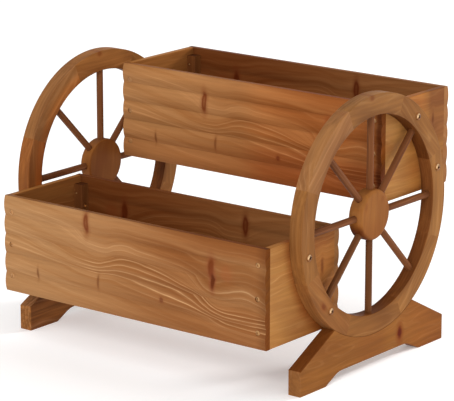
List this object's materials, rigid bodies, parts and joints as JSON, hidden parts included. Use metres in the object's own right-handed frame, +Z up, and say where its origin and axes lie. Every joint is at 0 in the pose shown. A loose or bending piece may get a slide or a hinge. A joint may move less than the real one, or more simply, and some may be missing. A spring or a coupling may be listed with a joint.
{
  "type": "planter cart stand",
  "caption": "Two-tier wooden planter stand: two open beaded boxes, one in front and one behind and above, carried between a pair of spoked cart wheels standing on arched feet.",
  "frame": {"origin": "on the floor under the middle of the stand's bounding box", "axes": "+X along the boxes towards the right-hand wheel as seen from the front, -Y the front, where the lower box is, +Z up"},
  "size_m": [0.626, 0.522, 0.474],
  "materials": {
    "board_wood": "satin stained softwood, beaded face",
    "panel_wood": "satin stained softwood",
    "inner_wood": "stained softwood, unpolished",
    "rim_wood": "satin stained softwood",
    "hub_wood": "satin stained softwood",
    "spoke_wood": "satin stained dowel",
    "foot_wood": "satin stained softwood",
    "screw_metal": "yellow passivated"
  },
  "bodies": {
    "root": {"left_felloe_1": "rim_wood", "left_felloe_2": "rim_wood", "left_felloe_3": "rim_wood", "left_felloe_4": "rim_wood", "left_felloe_5": "rim_wood", "left_felloe_6": "rim_wood", "left_felloe_7": "rim_wood", "left_felloe_8": "rim_wood", "left_spoke_1": "spoke_wood", "left_spoke_2": "spoke_wood", "left_spoke_3": "spoke_wood", "left_spoke_4": "spoke_wood", "left_spoke_5": "spoke_wood", "left_spoke_6": "spoke_wood", "left_spoke_7": "spoke_wood", "left_spoke_8": "spoke_wood", "left_hub": "hub_wood", "left_foot": "foot_wood", "right_felloe_1": "rim_wood", "right_felloe_2": "rim_wood", "right_felloe_3": "rim_wood", "right_felloe_4": "rim_wood", "right_felloe_5": "rim_wood", "right_felloe_6": "rim_wood", "right_felloe_7": "rim_wood", "right_felloe_8": "rim_wood", "right_spoke_1": "spoke_wood", "right_spoke_2": "spoke_wood", "right_spoke_3": "spoke_wood", "right_spoke_4": "spoke_wood", "right_spoke_5": "spoke_wood", "right_spoke_6": "spoke_wood", "right_spoke_7": "spoke_wood", "right_spoke_8": "spoke_wood", "right_hub": "hub_wood", "right_foot": "foot_wood", "lower_front_board": "board_wood", "lower_back_board": "board_wood", "lower_left_side": "panel_wood", "lower_right_side": "panel_wood", "lower_bottom_panel": "inner_wood", "lower_corner_batten_1": "inner_wood", "lower_corner_batten_2": "inner_wood", "lower_corner_batten_3": "inner_wood", "lower_corner_batten_4": "inner_wood", "upper_front_board": "board_wood", "upper_back_board": "board_wood", "upper_left_side": "panel_wood", "upper_right_side": "panel_wood", "upper_bottom_panel": "inner_wood", "upper_corner_batten_1": "inner_wood", "upper_corner_batten_2": "inner_wood", "upper_corner_batten_3": "inner_wood", "upper_corner_batten_4": "inner_wood", "board_screws": "screw_metal", "wheel_screws": "screw_metal", "side_screws": "screw_metal", "bottom_screws": "screw_metal", "foot_screws": "screw_metal"}
  },
  "joints": []
}
